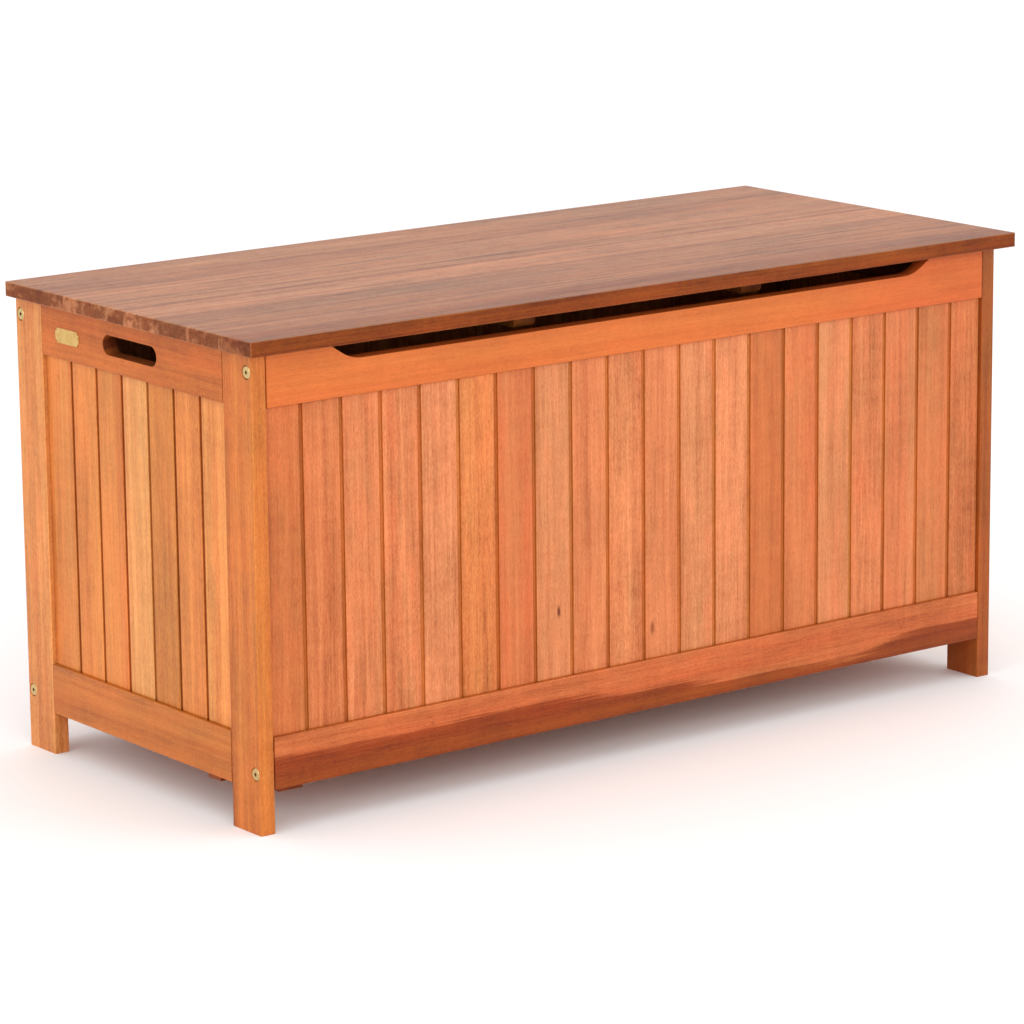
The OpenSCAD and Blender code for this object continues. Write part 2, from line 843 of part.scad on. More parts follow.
leg(-1, -1);  // front_left_leg
leg(1, -1);  // front_right_leg
leg(-1, 1);  // back_left_leg
leg(1, 1);  // back_right_leg
front_top_rail();
front_bottom_rail();
back_top_rail();
back_bottom_rail();
end_top_rail(-1);  // left_top_rail
end_bottom_rail(-1);  // left_bottom_rail
end_top_rail(1);  // right_top_rail
end_bottom_rail(1);  // right_bottom_rail
for (i = [1:front_boards]) {
    front_board(i);
}
for (i = [1:side_boards]) {
    left_board(i);
}
right_boards();
back_boards();
floor_ledgers();
floor_boards();
corner_floor_strips();
lid_panel();
lid_batten(-1);  // left_lid_batten
lid_batten(1);  // right_lid_batten
hinge_case_leaves();
hinge_lid_leaves();
hinge_pins();
stay_arm(-1);  // left_stay_arm
stay_arm(1);  // right_stay_arm
stay_lid_brackets();
stay_wall_plates();
connecting_bolts();
barrel_nuts();
dowels();
case_screws();
lid_screws();
name_plate();
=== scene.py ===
"""Looks of the deck storage box: oiled hardwood, zinc and brass fittings, a pale studio.

Every CAD node keeps its mesh, and modifiers ease the edges of the larger pieces. Wood is one
solid-wood node group: growth rings round a pith line, colour bands, fibres and pores all run
through the piece, so faces, edges and end grain agree.
"""
import math
import random

import bpy
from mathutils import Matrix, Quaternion, Vector


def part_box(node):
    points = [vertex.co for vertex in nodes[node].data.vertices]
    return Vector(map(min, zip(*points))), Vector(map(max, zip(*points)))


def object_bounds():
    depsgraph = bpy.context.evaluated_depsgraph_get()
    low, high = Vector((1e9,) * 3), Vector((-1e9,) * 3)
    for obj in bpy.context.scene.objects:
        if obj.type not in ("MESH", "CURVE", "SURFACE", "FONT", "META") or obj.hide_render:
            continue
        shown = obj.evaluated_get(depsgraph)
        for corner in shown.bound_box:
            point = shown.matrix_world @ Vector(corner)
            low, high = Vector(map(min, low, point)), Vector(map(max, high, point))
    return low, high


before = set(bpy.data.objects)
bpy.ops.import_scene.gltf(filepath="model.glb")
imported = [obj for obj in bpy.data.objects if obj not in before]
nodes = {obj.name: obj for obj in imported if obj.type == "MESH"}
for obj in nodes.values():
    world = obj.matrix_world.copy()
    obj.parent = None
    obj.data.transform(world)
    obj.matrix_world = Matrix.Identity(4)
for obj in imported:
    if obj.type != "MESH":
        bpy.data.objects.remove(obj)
cad_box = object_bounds()
rng = random.Random(19)

MM = 0.001
BOARD_PITCH = 55.5 * MM
STAVE_WIDTH = 66 * MM
FLOOR_BOARDS = 18
FLOOR_GAP = 6 * MM

# Colours of the woods themselves, in sRGB, named for what they look like
TONES = {
    "russet": (187, 102, 53),
    "clay": (193, 108, 61),
    "rose": (198, 114, 68),
    "amber": (203, 113, 59),
    "sand": (198, 122, 76),
    "honey": (204, 124, 78),
    "tan": (203, 119, 56),
    "straw": (213, 139, 77),
    "teak": (191, 112, 49),
    "maize": (213, 132, 67),
    "peach": (206, 129, 69),
    "oak": (185, 103, 42),
    "umber": (184, 95, 34),
    "copper": (200, 103, 45),
    "brick": (184, 96, 50),
    "chestnut": (153, 75, 25),
    "walnut": (169, 107, 70),
    "driftwood": (122, 68, 24),
    "beech": (212, 172, 122),
}
# The front boards from the left, and the left end's boards from the back
FRONT_TONES = (
    "russet clay rose rose honey amber clay sand rose rose "
    "rose honey honey russet clay sand rose rose clay clay"
).split()
LEFT_TONES = "tan tan tan straw teak tan maize".split()


# ---- node graphs ----

def linear(rgb):
    """An sRGB colour of 0 to 255 as a linear RGBA."""
    def channel(c):
        c /= 255
        return c / 12.92 if c <= 0.04045 else ((c + 0.055) / 1.055) ** 2.4
    return tuple(channel(c) for c in rgb) + (1.0,)


class Graph:
    """Short calls for making nodes in one tree. An argument is a socket, a number or a tuple."""

    def __init__(self, tree):
        self.tree = tree

    def node(self, kind, inputs=(), **properties):
        made = self.tree.nodes.new(kind)
        for key, value in properties.items():
            setattr(made, key, value)
        for key, value in dict(inputs).items():
            self.put(made.inputs[key], value)
        return made

    def put(self, socket, value):
        if isinstance(value, bpy.types.NodeSocket):
            self.tree.links.new(value, socket)
        elif value is not None:
            socket.default_value = value

    def math(self, operation, a, b=None, c=None):
        return self.node("ShaderNodeMath", {0: a, 1: b, 2: c}, operation=operation).outputs[0]

    def vector(self, operation, a, b=None):
        return self.node("ShaderNodeVectorMath", {0: a, 1: b}, operation=operation).outputs[0]

    def scale(self, a, factor):
        return self.node("ShaderNodeVectorMath", {0: a, "Scale": factor},
                         operation="SCALE").outputs[0]

    def length(self, a):
        return self.node("ShaderNodeVectorMath", {0: a}, operation="LENGTH").outputs["Value"]

    def combine(self, x, y, z):
        return self.node("ShaderNodeCombineXYZ", {0: x, 1: y, 2: z}).outputs[0]

    def separate(self, vector):
        return self.node("ShaderNodeSeparateXYZ", {0: vector}).outputs

    def noise(self, vector, detail=2.0, roughness=0.5):
        """Noise with features about 1 unit across, from 0 to 1."""
        return self.node("ShaderNodeTexNoise", {
            "Vector": vector, "Scale": 1.0, "Detail": detail, "Roughness": roughness}).outputs[0]

    def noise_1d(self, value, detail=2.0, roughness=0.5):
        return self.node("ShaderNodeTexNoise", {
            "W": value, "Scale": 1.0, "Detail": detail, "Roughness": roughness},
            noise_dimensions="1D").outputs[0]

    def step(self, value, low, high, to_low=0.0, to_high=1.0):
        """Smooth step of value from low to high."""
        return self.node("ShaderNodeMapRange", {
            "Value": value, "From Min": low, "From Max": high, "To Min": to_low,
            "To Max": to_high}, interpolation_type="SMOOTHSTEP").outputs[0]

    def spread(self, value, amount):
        """Moves a 0 to 1 value to 0, plus or minus amount."""
        return self.math("MULTIPLY", self.math("SUBTRACT", value, 0.5), 2 * amount)

    def total(self, *values):
        result = values[0]
        for value in values[1:]:
            result = self.math("ADD", result, value)
        return result

    def tint(self, colour, factor, gains):
        """Multiplies a colour by gains, as far as factor says."""
        return self.node("ShaderNodeMix", {0: factor, 6: colour, 7: gains + (1.0,)},
                         data_type="RGBA", blend_type="MULTIPLY").outputs[2]


def new_material(name):
    """A node material with only its output and a Principled shader: (material, graph, shader)."""
    made = bpy.data.materials.new(name)
    made.use_nodes = True
    shader = next(n for n in made.node_tree.nodes if n.type == "BSDF_PRINCIPLED")
    return made, Graph(made.node_tree), shader


def cover(node, material):
    """Gives a CAD node its material."""
    for slot in nodes[node].material_slots:
        slot.material = material


# ---- the solid wood ----

# Layers of the figure: features per metre across and along the grain, the detail and roughness
# of the noise, and how far it lightens and darkens the wood
LAYERS = {
    "streaks": (130, 2.8, 3.0, 0.6, 0.50),
    "strands": (380, 14, 2.0, 0.6, 0.22),
    "fibres": (780, 60, 2.0, 0.6, 0.27),
    "grit": (620, 230, 1.0, 0.5, 0.30),
    "mottle": (66, 17, 2.0, 0.5, 0.25),
    "patches": (13, 5, 2.0, 0.5, 0.42),
    "ribbon": (26, 75, 1.0, 0.5, 0.13),
}
# Growth rings and the wider bands of colour, per metre from the pith, and how far they lighten
# and darken the wood. Less of that shows on end grain.
RINGS_PER_METRE = 330
BANDS_PER_METRE = 62
WARMTH_PER_METRE = 30
RING_DEPTHS = {"rings": 0.13, "bands": 0.26}
END_GRAIN_SHARE = 0.4
# Layers that turn the wood warm or cool, that let the end grain drink oil, and that roughen it
HUE_DEPTHS = {"warmth": 0.7, "patches": 0.9, "mottle": 0.9}
OIL_DEPTHS = {"bands": 0.2, "mottle": 0.45, "patches": 0.8}
ROUGH_DEPTHS = {"fibres": 0.07, "patches": 0.05}
OILED_ROUGHNESS = 0.40
# What each effect multiplies red, green and blue by
PORE_GAINS = (0.68, 0.54, 0.46)
CORE_GAINS = (1.35, 1.30, 1.15)
FLECK_GAINS = (0.45, 0.30, 0.25)
SOAKED_GAINS = (0.56, 0.40, 0.27)
# Rounded edges made lighter: partly wear, partly a painted highlight
WORN_AND_HIGHLIT_GAINS = (1.12, 1.22, 1.28)
# Dark oil along joints, and painted shade in grooves, slots and cut-outs
DIRT_AND_SHADE_GAINS = (0.68, 0.51, 0.01)
# Light and dark show more in green and blue than in red
FIGURE_POWERS = (0.62, 1.0, 1.25)
# Warm wood is redder, and cool wood leans to olive
WARM_SLOPES = (0.05, -0.17, -0.20)

GROUP_INPUTS = (
    ("Position", "Vector"), ("Shift", "Vector"), ("Pith", "Vector"), ("Normal", "Vector"),
    ("Tone", "Color"), ("Figure", "Float"), ("Hue", "Float"), ("Pores", "Float"),
    ("DirtAndShade", "Float"),
)
GROUP_OUTPUTS = (("Color", "Color"), ("Roughness", "Float"), ("Height", "Float"))


def stretched(g, cut, across, along):
    """A place in features per metre across the grain and along it."""
    return g.vector("MULTIPLY", cut, (across, across, along))


def pith_distance(g, given, cut):
    """Distance from the pith, with the wobble of a real trunk along the grain."""
    wobble = g.spread(g.noise(stretched(g, cut, 9, 2.4), 1.5), 17 * MM)
    ripple = g.spread(g.noise(stretched(g, cut, 45, 11), 2.0), 1.6 * MM)
    from_pith = g.separate(g.vector("SUBTRACT", given["Position"], given["Pith"]))
    return g.total(g.length(g.combine(from_pith[0], from_pith[1], 0.0)), wobble, ripple)


def figure_layers(g, given, cut, radius):
    """The noises of the figure by name, each from 0 to 1."""
    shifted = g.math("ADD", radius, g.separate(given["Shift"])[2])
    layers = {
        "rings": g.noise_1d(g.math("MULTIPLY", shifted, RINGS_PER_METRE), 2.0, 0.6),
        "bands": g.noise_1d(g.math("MULTIPLY", shifted, BANDS_PER_METRE), 1.0),
        "warmth": g.noise_1d(g.math("MULTIPLY_ADD", shifted, WARMTH_PER_METRE, 7.3), 1.0),
    }
    for name, (across, along, detail, roughness, _) in LAYERS.items():
        layers[name] = g.noise(stretched(g, cut, across, along), detail, roughness)
    return layers


def mixed(g, layers, depths):
    """The named layers added up, each from minus to plus its depth."""
    return g.total(*(g.spread(layers[name], depth) for name, depth in depths.items()))


def figured(g, given, layers, end_grain):
    """The tone with the figure's light and dark, and its warm and cool streaks."""
    calmer = g.math("MULTIPLY_ADD", end_grain, END_GRAIN_SHARE - 1, 1.0)
    rings = g.math("MULTIPLY", mixed(g, layers, RING_DEPTHS), calmer)
    others = mixed(g, layers, {name: row[-1] for name, row in LAYERS.items()})
    gain = g.math("MULTIPLY_ADD", g.total(rings, others), given["Figure"], 1.0)
    gains = g.combine(*(g.math("POWER", gain, power) for power in FIGURE_POWERS))
    lean = g.math("MULTIPLY", mixed(g, layers, HUE_DEPTHS), given["Hue"])
    leaning = g.combine(*(g.math("MULTIPLY_ADD", lean, slope, 1.0) for slope in WARM_SLOPES))
    return g.vector("MULTIPLY", g.vector("MULTIPLY", given["Tone"], gains), leaning)


def open_pores(g, cut):
    """Short dark pores, thicker in some places than in others."""
    spots = g.step(g.noise(stretched(g, cut, 1400, 150), 1.0), 0.57, 0.70)
    thicker = g.step(g.noise(stretched(g, cut, 60, 20), 1.0), 0.25, 0.65, 0.45, 1.0)
    return g.math("MULTIPLY", spots, thicker)


def gum_flecks(g, cut):
    """A few small flecks of gum."""
    cells = g.node("ShaderNodeTexVoronoi", {"Vector": stretched(g, cut, 26, 9), "Scale": 1.0},
                   feature="F1", distance="EUCLIDEAN")
    chosen = g.step(g.separate(cells.outputs["Color"])[0], 0.86, 0.90)
    return g.math("MULTIPLY", g.step(cells.outputs["Distance"], 0.045, 0.012), chosen)


def soaked_ends(g, layers, end_grain):
    """End grain, which drinks the oil unevenly."""
    drunk = g.step(mixed(g, layers, OIL_DEPTHS), -0.08, 0.24, 1.0, 0.35)
    return g.math("MULTIPLY", end_grain, drunk)


def worn_and_highlit_arrises(g, layers, facing):
    """Rounded edges, lighter from wear and a painted highlight, where the middle one of the
    normal's three parts is large.
    """
    middle = g.math("MAXIMUM", g.math("MINIMUM", facing[0], facing[1]),
                    g.math("MINIMUM", g.math("MAXIMUM", facing[0], facing[1]), facing[2]))
    return g.math("MULTIPLY", g.step(middle, 0.22, 0.60),
                  g.step(layers["patches"], 0.35, 0.62, 0.35, 1.0))


def solid_wood():
    """Node group of oiled hardwood. Position is in metres with the grain along Z."""
    tree = bpy.data.node_groups.new("solid_wood", "ShaderNodeTree")
    for name, kind in GROUP_INPUTS:
        tree.interface.new_socket(name, in_out="INPUT", socket_type="NodeSocket" + kind)
    for name, kind in GROUP_OUTPUTS:
        tree.interface.new_socket(name, in_out="OUTPUT", socket_type="NodeSocket" + kind)
    g = Graph(tree)
    given = g.node("NodeGroupInput").outputs
    cut = g.vector("ADD", given["Position"], given["Shift"])
    radius = pith_distance(g, given, cut)
    layers = figure_layers(g, given, cut, radius)
    facing = g.separate(g.vector("ABSOLUTE", given["Normal"]))
    end_grain = g.step(facing[2], 0.75, 0.95)
    porous = g.math("MULTIPLY", open_pores(g, cut), given["Pores"])

    colour = figured(g, given, layers, end_grain)
    for factor, gains in (
        (porous, PORE_GAINS),
        (g.step(radius, 10 * MM, 3 * MM, 0.0, 0.8), CORE_GAINS),
        (gum_flecks(g, cut), FLECK_GAINS),
        (soaked_ends(g, layers, end_grain), SOAKED_GAINS),
        # lighter rounded edges: wear and a painted highlight
        (worn_and_highlit_arrises(g, layers, facing), WORN_AND_HIGHLIT_GAINS),
        # dark oil along joints, and painted shade in grooves and cut-outs
        (given["DirtAndShade"], DIRT_AND_SHADE_GAINS),
    ):
        colour = g.tint(colour, factor, gains)
    roughness = g.total(
        OILED_ROUGHNESS, mixed(g, layers, ROUGH_DEPTHS), g.math("MULTIPLY", porous, 0.12),
        g.math("MULTIPLY", end_grain, 0.14), g.math("MULTIPLY", given["DirtAndShade"], 0.15))
    height = g.total(g.math("MULTIPLY", layers["fibres"], 0.45),
                     g.math("MULTIPLY", layers["rings"], 0.25), g.math("MULTIPLY", porous, -0.8))
    g.node("NodeGroupOutput", {"Color": colour, "Roughness": roughness, "Height": height})
    return tree


WOOD = solid_wood()
# The order of the axes that turns each grain direction to Z
ALONG = {"X": (1, 2, 0), "Y": (2, 0, 1), "Z": (0, 1, 2)}


def split_rows(g, position, middle, rows, seed):
    """Cuts a panel into boards: the place within a board, and a random colour for each board.

    rows is (axis, start, pitch), and position is measured from the middle.
    """
    axis, start, pitch = rows
    parts = list(g.separate(position))
    counted = g.math("DIVIDE", g.math("SUBTRACT", parts[axis], start - middle[axis]), pitch)
    number = g.math("FLOOR", counted)
    within = g.math("SUBTRACT", g.math("SUBTRACT", counted, number), 0.5)
    parts[axis] = g.math("MULTIPLY", within, pitch)
    chance = g.node("ShaderNodeTexWhiteNoise", {"W": g.math("ADD", number, seed)},
                    noise_dimensions="1D").outputs["Color"]
    return g.combine(*parts), chance


def row_tone(g, picked, tone, spread):
    """The tone of one board of a row, lighter or darker and redder or yellower by spread."""
    light = g.math("ADD", g.spread(picked[2], spread), 1.0)
    blush = g.math("ADD", g.spread(picked[0], spread / 2), 1.0)
    gains = g.combine(light, g.math("MULTIPLY", light, blush),
                      g.math("MULTIPLY", light, g.math("POWER", blush, 2.0)))
    return g.vector("MULTIPLY", gains, tone[:3])


def paint_wood(node, grain, tone, figure=1.0, hue=1.0, pores=0.55, pith=0.11, fine=1.0,
               rows=None, dirt_and_shade=None, stain_and_shade=None, spread=0.10, sheen=0.2):
    """Makes the solid wood of one CAD node.

    grain is the axis along the grain, pith the usual distance to the pith, and fine narrows
    the figure across the grain. rows is (axis, start, pitch) for a node of several boards side
    by side, or a panel of staves, whose tones vary by spread. dirt is a function of
    (graph, place) that gives a mask of dark oil and painted shade, and stain a pair: a function
    of (graph, place, normal) and the gains that it tints with, for real stains and for painted
    shade.
    """
    low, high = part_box(node)
    middle = (low + high) / 2
    made, g, shader = new_material("wood_" + node)
    coordinates = g.node("ShaderNodeTexCoord").outputs
    place = g.vector("SUBTRACT", coordinates["Object"], tuple(middle))
    angle = rng.uniform(0, 2 * math.pi)
    shift = tuple(rng.uniform(-9, 9) for _ in range(3))
    pith_at = (pith * math.cos(angle), pith * math.sin(angle), 0.0)
    level = rng.uniform(0.985, 1.015)
    toned = tuple(min(1.0, c * level) for c in linear(TONES[tone])[:3]) + (1.0,)
    if rows:
        place, chance = split_rows(g, place, middle, rows, shift[0])
        picked = g.separate(chance)
        shift = g.scale(chance, 17.0)
        pith_at = g.combine(g.spread(picked[0], pith), g.spread(picked[1], pith), 0.0)
        toned = row_tone(g, picked, toned, spread)

    order = ALONG[grain]
    turned = [g.separate(place)[k] for k in order]
    if fine != 1.0:
        turned[:2] = [g.math("MULTIPLY", t, fine) for t in turned[:2]]
    facing = g.separate(coordinates["Normal"])
    wood = g.node("ShaderNodeGroup", node_tree=WOOD)
    values = {
        "Position": g.combine(*turned), "Shift": shift, "Pith": pith_at,
        "Normal": g.combine(*(facing[k] for k in order)), "Tone": toned,
        "Figure": figure, "Hue": hue, "Pores": pores,
        "DirtAndShade": dirt_and_shade(g, coordinates["Object"]) if dirt_and_shade else 0.0,
    }
    for key, value in values.items():
        g.put(wood.inputs[key], value)
    colour = wood.outputs["Color"]
    if stain_and_shade:
        mask, gains = stain_and_shade
        colour = g.tint(colour, mask(g, coordinates["Object"], coordinates["Normal"]), gains)
    g.put(shader.inputs["Base Color"], colour)
    g.put(shader.inputs["Roughness"], wood.outputs["Roughness"])
    shader.inputs["Specular IOR Level"].default_value = sheen
    bump = g.node("ShaderNodeBump", {"Height": wood.outputs["Height"], "Strength": 0.35,
                                     "Distance": 0.25 * MM})
    g.put(shader.inputs["Normal"], bump.outputs[0])
    cover(node, made)


# ---- masks ----

# Dark oil and painted shade along joints: how far they reach, and how dark they are
JOINT_REACH = 2 * MM
JOINT_OIL_AND_SHADE = 0.9
# How far behind a face the painted shade of a cut-out or groove begins: at the chamfers of the
# front boards, and only at the floors of the narrow dark grooves between the left boards
CUT_START = 0.5 * MM
FRONT_GROOVE_START = 0.1 * MM
LEFT_GROOVE_START = 1.4 * MM
# The upper line of the dark heartwood in the front bottom rail: its height at the left end, its
# bends as (from x, to x, rise), its waves, its ragged grain and its soft edge
HEART_HEIGHT = 36 * MM
HEART_BENDS = ((-200 * MM, 280 * MM, -25 * MM), (320 * MM, 470 * MM, 19 * MM))
HEART_WAVE = 7 * MM
HEART_RAGGED = 11 * MM
HEART_SOFT = 4 * MM
# The front top rail turns redder between these places along x
RED_END = (200 * MM, 440 * MM)
# The dark front stave of the lid fades between these distances from the front edge
STAVE_FADE = (75 * MM, 25 * MM)


def joint_lines(lines):
    """Dark oil and painted shade along joints. lines are pairs (axis, place)."""
    def mask(g, place):
        parts = g.separate(place)
        found = 0.0
        for axis, line in lines:
            distance = g.math("ABSOLUTE", g.math("SUBTRACT", parts[axis], line))
            found = g.math("MAXIMUM", found, g.step(distance, 0.0, JOINT_REACH, 1.0, 0.0))
        return g.math("MULTIPLY", found, JOINT_OIL_AND_SHADE)
    return mask


def behind(g, place, axis, face, strength, start):
    """Rises to strength from start behind a face, within half a millimetre."""
    depth = g.math("ABSOLUTE", g.math("SUBTRACT", g.separate(place)[axis], face))
    return g.step(depth, start, start + 0.5 * MM, 0.0, strength)


def shade_below_face(axis, face, strength, lines, start=CUT_START):
    """Painted shade, with some dark oil, in grooves and cut-outs behind a face, and along lines.
    """
    joints = joint_lines(lines)

    def mask(g, place):
        return g.math("MAXIMUM", joints(g, place), behind(g, place, axis, face, strength, start))
    return mask


def painted_slot_shade(face, start=CUT_START):
    """Painted shade on wood in a slot or groove, which sees little light, behind a face at a given
    x.
    """
    def mask(g, place, normal):
        return behind(g, place, 0, face, 1.0, start)
    return mask


def redder_end(g, place, normal):
    """The right end of the front top rail, where its wood turns redder."""
    return g.step(g.separate(place)[0], *RED_END)


def heart_band(height):
    """Dark heartwood below a wavy line that drops towards the right and sweeps up near the end."""
    def mask(g, place, normal):
        parts = g.separate(place)
        bends = [g.step(parts[0], start, end, 0.0, rise) for start, end, rise in HEART_BENDS]
        wave = g.spread(g.noise_1d(g.math("MULTIPLY", parts[0], 7.0)), HEART_WAVE)
        ragged = g.spread(g.noise(g.vector("MULTIPLY", place, (7, 60, 300))), HEART_RAGGED)
        above = g.math("SUBTRACT", parts[2], g.total(height, *bends, wave, ragged))
        return g.step(above, -HEART_SOFT, HEART_SOFT, 1.0, 0.0)
    return mask


def knot(x, z, radius):
    """A small dark knot with the grain darkened above and below it."""
    def mask(g, place, normal):
        parts = g.separate(place)
        across = g.math("DIVIDE", g.math("SUBTRACT", parts[0], x), radius)
        along = g.math("DIVIDE", g.math("SUBTRACT", parts[2], z), 2.6 * radius)
        ragged = g.spread(g.noise(g.vector("MULTIPLY", place, (520, 520, 260)), 2.0), 0.5)
        return g.step(g.math("ADD", g.length(g.combine(across, 0.0, along)), ragged), 1.5, 0.3)
    return mask


def lid_edges(g, place, normal):
    """The front and back edges of the lid, tinted darker, and a dark front stave."""
    edge = g.step(g.math("ABSOLUTE", g.separate(normal)[1]), 0.45, 0.85)
    wave = g.spread(g.noise(g.vector("MULTIPLY", place, (3, 40, 1)), 3.0, 0.6), 40 * MM)
    from_front = g.math("ADD", g.math("SUBTRACT", g.separate(place)[1], lid_low.y), wave)
    return g.math("MAXIMUM", edge, g.step(from_front, *STAVE_FADE, 0.0, 0.5))


# ---- woods of the box ----

lid_low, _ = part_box("lid_panel")
rail_low, rail_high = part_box("front_bottom_rail")
top_rail_low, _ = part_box("front_top_rail")
# The joints of the long rails with the legs, and of the boards with the rails
rail_ends = ((0, rail_low.x), (0, rail_high.x))
board_ends = ((2, rail_high.z), (2, top_rail_low.z))


def paint_legs():
    for node, tone in (("front_left_leg", "oak"), ("back_left_leg", "peach"),
                       ("front_right_leg", "chestnut"), ("back_right_leg", "clay")):
        paint_wood(node, "Z", tone, figure=rng.uniform(0.9, 1.05), pores=0.7)


def paint_long_rails():
    paint_wood("front_top_rail", "X", "copper", figure=0.5, hue=0.6, pores=0.35,
               dirt_and_shade=shade_below_face(1, top_rail_low.y, 0.2, rail_ends),
               stain_and_shade=(redder_end, (0.98, 0.84, 0.90)))
    paint_wood("front_bottom_rail", "X", "brick", figure=1.1, pores=0.5, pith=0.06,
               dirt_and_shade=joint_lines(rail_ends),
               stain_and_shade=(heart_band(rail_low.z + HEART_HEIGHT), (0.52, 0.34, 0.10)))
    paint_wood("back_top_rail", "X", "copper", figure=0.8, dirt_and_shade=joint_lines(rail_ends))
    paint_wood("back_bottom_rail", "X", "brick", dirt_and_shade=joint_lines(rail_ends))


def paint_end_rails():
    for side, top_tone, bottom_tone in (("left", "umber", "oak"), ("right", "clay", "tan")):
        low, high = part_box(f"{side}_top_rail")
        outer = low.x if side == "left" else high.x
        joints = joint_lines(((1, low.y), (1, high.y)))
        # the walls of the handle slot get painted shade
        paint_wood(f"{side}_top_rail", "Y", top_tone, figure=0.9, pores=0.5, dirt_and_shade=joints,
                   stain_and_shade=(painted_slot_shade(outer), (0.50, 0.48, 0.75)))
        paint_wood(f"{side}_bottom_rail", "Y", bottom_tone, figure=0.9, pores=0.5, dirt_and_shade=joints)


# Small knots in the front boards: board number, then the knot and its gains
KNOTS = {
    8: (knot(-131 * MM, 196 * MM, 2.7 * MM), (0.24, 0.14, 0.08)),
    11: (knot(13 * MM, 152 * MM, 3 * MM), (0.50, 0.40, 0.34)),
}


def paint_boards():
    for number, tone in enumerate(FRONT_TONES, 1):
        node = f"front_board_{number}"
        paint_wood(node, "Z", tone, figure=rng.uniform(0.75, 1.15), hue=rng.uniform(0.7, 1.3),
                   pores=rng.uniform(0.4, 0.75), pith=rng.uniform(0.04, 0.16),
                   dirt_and_shade=shade_below_face(1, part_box(node)[0].y, 0.66, board_ends, FRONT_GROOVE_START),
                   stain_and_shade=KNOTS.get(number))
    for number, tone in enumerate(LEFT_TONES, 1):
        node = f"left_board_{number}"
        # the floors of the grooves between these boards get painted shade
        paint_wood(node, "Z", tone, figure=rng.uniform(0.75, 1.05), hue=rng.uniform(0.6, 1.1),
                   pores=rng.uniform(0.4, 0.7), pith=rng.uniform(0.05, 0.16),
                   dirt_and_shade=joint_lines(board_ends),
                   stain_and_shade=(painted_slot_shade(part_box(node)[0].x, LEFT_GROOVE_START), (0.42, 0.27, 0.12)))


def paint_hidden_panels():
    """The back, whose two outer boards are wider, and the right end."""
    back_start = -(len(FRONT_TONES) / 2 - 1) * BOARD_PITCH
    paint_wood("back_boards", "Z", "rose", pith=0.1, rows=(0, back_start, BOARD_PITCH),
               dirt_and_shade=shade_below_face(1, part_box("back_boards")[1].y, 0.5, board_ends))
    low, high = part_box("right_boards")
    right_start = (low.y + high.y) / 2 - len(LEFT_TONES) / 2 * BOARD_PITCH
    paint_wood("right_boards", "Z", "tan", pith=0.1, rows=(1, right_start, BOARD_PITCH),
               dirt_and_shade=shade_below_face(0, high.x, 0.6, board_ends))


def paint_lid():
    paint_wood("lid_panel", "X", "walnut", figure=1.5, hue=0.9, pores=0.8, pith=0.2,
               fine=1.8, rows=(1, lid_low.y, STAVE_WIDTH), spread=0.13,
               stain_and_shade=(lid_edges, (0.58, 0.30, 0.06)), sheen=0.12)
    for side in ("left", "right"):
        paint_wood(f"{side}_lid_batten", "Y", "driftwood", figure=1.1, sheen=0.08)


def paint_inside():
    low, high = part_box("floor_boards")
    floor_pitch = (high.x - low.x + FLOOR_GAP) / FLOOR_BOARDS
    paint_wood("floor_boards", "Y", "clay", rows=(0, low.x, floor_pitch))
    paint_wood("floor_ledgers", "X", "oak")
    paint_wood("corner_floor_strips", "Y", "chestnut")
    paint_wood("dowels", "Y", "beech", figure=0.6)


# ---- metals ----

def paint_metal(node, tone, roughness, patina, scratches=1.0):
    """Plated or solid metal: brushed lines, cloudy roughness and a patina in patches."""
    made, g, shader = new_material("metal_" + node)
    place = g.node("ShaderNodeTexCoord").outputs["Object"]
    cloud = g.noise(g.vector("MULTIPLY", place, (120, 120, 120)), 3.0, 0.6)
    brushed = g.noise(g.vector("MULTIPLY", place, (2600, 420, 2600)), 2.0, 0.6)
    specks = g.step(g.noise(g.vector("MULTIPLY", place, (900, 900, 900)), 1.0), 0.66, 0.78)
    colour = g.tint(linear(tone), g.step(cloud, 0.42, 0.72), patina)
    colour = g.tint(colour, g.math("MULTIPLY", specks, 0.5), (0.62, 0.58, 0.52))
    g.put(shader.inputs["Base Color"], colour)
    g.put(shader.inputs["Roughness"], g.total(
        roughness, g.spread(cloud, 0.09), g.spread(brushed, 0.08),
        g.math("MULTIPLY", specks, 0.12)))
    shader.inputs["Metallic"].default_value = 1.0
    height = g.total(g.math("MULTIPLY", brushed, 0.6 * scratches),
                     g.math("MULTIPLY", specks, -0.5))
    bump = g.node("ShaderNodeBump", {"Height": height, "Strength": 0.3, "Distance": 0.05 * MM})
    g.put(shader.inputs["Normal"], bump.outputs[0])
    cover(node, made)


def paint_fittings():
    zinc, steel, brass, plate = (205, 207, 205), (214, 212, 204), (206, 176, 122), (215, 177, 108)
    dull = (0.80, 0.82, 0.84)
    for node in ("hinge_case_leaves", "hinge_lid_leaves", "stay_lid_brackets",
                 "stay_wall_plates", "left_stay_arm", "right_stay_arm"):
        paint_metal(node, zinc, 0.36, dull)
    for node in ("hinge_pins", "barrel_nuts", "case_screws", "lid_screws"):
        paint_metal(node, steel, 0.30, dull, scratches=0.5)
    paint_metal("connecting_bolts", brass, 0.28, (0.88, 0.90, 0.74), scratches=0.4)
    paint_metal("name_plate", plate, 0.34, (0.86, 0.78, 0.62))


# ---- eased edges on the sharp ends of the larger pieces ----

EASED = (
    "front_left_leg", "front_right_leg", "back_left_leg", "back_right_leg",
    "front_top_rail", "front_bottom_rail", "back_top_rail", "back_bottom_rail",
    "left_top_rail", "left_bottom_rail", "right_top_rail", "right_bottom_rail",
    "left_lid_batten", "right_lid_batten",
)


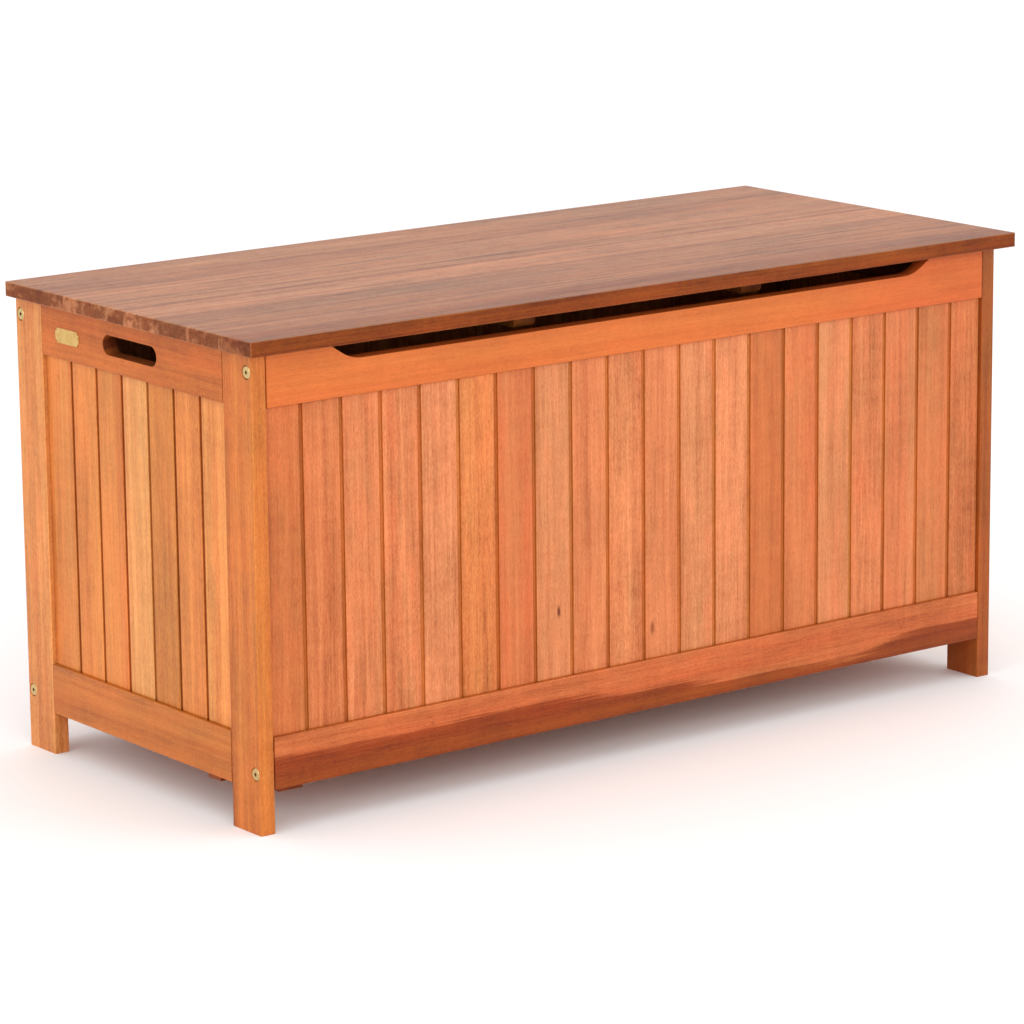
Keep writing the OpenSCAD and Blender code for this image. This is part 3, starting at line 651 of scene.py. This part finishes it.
def ease_edges(node, width):
    """Joins the mesh's split corners, clears its flat seams and rounds its sharp edges."""
    piece = nodes[node]
    weld = piece.modifiers.new("weld", "WELD")
    weld.merge_threshold = 0.002 * MM
    flat = piece.modifiers.new("flat", "DECIMATE")
    flat.decimate_type = "DISSOLVE"
    flat.angle_limit = math.radians(0.5)
    bevel = piece.modifiers.new("ease", "BEVEL")
    bevel.width = width
    bevel.segments = 2
    bevel.limit_method = "ANGLE"
    bevel.angle_limit = math.radians(50)
    bevel.use_clamp_overlap = False
    bevel.harden_normals = True


# ---- studio ----

# The lights: place, size and power
LIGHTS = {
    "key": ((-2.6, -4.6, 2.4), 2.4, 60),
    "fill": ((2.8, -3.8, 1.6), 2.4, 30),
    "side": ((-4.5, -0.6, 1.8), 2.2, 30),
}


def make_floor():
    """A wide pale floor with a faint unevenness."""
    half = 30.0
    mesh = bpy.data.meshes.new("studio_floor")
    corners = [(-half, -half, 0), (half, -half, 0), (half, half, 0), (-half, half, 0)]
    mesh.from_pydata(corners, [], [(0, 1, 2, 3)])
    floor = bpy.data.objects.new("studio_floor", mesh)
    bpy.context.scene.collection.objects.link(floor)
    made, g, shader = new_material("studio_floor")
    place = g.node("ShaderNodeTexCoord").outputs["Object"]
    cloud = g.noise(g.vector("MULTIPLY", place, (0.8, 0.8, 0.8)), 2.0)
    level = g.math("ADD", 0.95, g.spread(cloud, 0.01))
    g.put(shader.inputs["Base Color"], g.combine(level, level, level))
    shader.inputs["Roughness"].default_value = 0.85
    shader.inputs["Specular IOR Level"].default_value = 0.2
    mesh.materials.append(made)


def area_light(name, place, aim, size, power):
    data = bpy.data.lights.new(name, "AREA")
    data.shape = "SQUARE"
    data.size = size
    data.energy = power
    lamp = bpy.data.objects.new(name, data)
    lamp.location = place
    lamp.rotation_mode = "QUATERNION"
    lamp.rotation_quaternion = (aim - Vector(place)).to_track_quat("-Z", "Y")
    bpy.context.scene.collection.objects.link(lamp)


def make_lighting():
    """A white surround and soft lights aimed at the middle of the box."""
    scene = bpy.context.scene
    scene.view_settings.view_transform = "Standard"
    world = bpy.data.worlds.new("studio")
    world.use_nodes = True
    background = next(n for n in world.node_tree.nodes if n.type == "BACKGROUND")
    background.inputs["Color"].default_value = (1.0, 1.0, 1.0, 1.0)
    background.inputs["Strength"].default_value = 1.1
    scene.world = world
    middle = (cad_box[0] + cad_box[1]) / 2
    for name, (place, size, power) in LIGHTS.items():
        area_light(name, place, middle, size, power)


def make_camera():
    """At the photograph's viewing angle: in front, left of the box and a little above the lid."""
    place = Vector((-3.308, -4.333, 1.494))
    forward = Vector((0.58973, 0.77670, -0.22127))
    roll = math.radians(-0.59)
    data = bpy.data.cameras.new("camera")
    data.sensor_width = 36
    data.lens = 156.8
    camera = bpy.data.objects.new("camera", data)
    camera.location = place
    camera.rotation_mode = "QUATERNION"
    camera.rotation_quaternion = forward.to_track_quat("-Z", "Y") @ Quaternion((0, 0, 1), roll)
    bpy.context.scene.collection.objects.link(camera)
    bpy.context.scene.camera = camera


paint_legs()
paint_long_rails()
paint_end_rails()
paint_boards()
paint_hidden_panels()
paint_lid()
paint_inside()
paint_fittings()
for eased in EASED:
    ease_edges(eased, 0.5 * MM)
make_floor()
make_lighting()
make_camera()
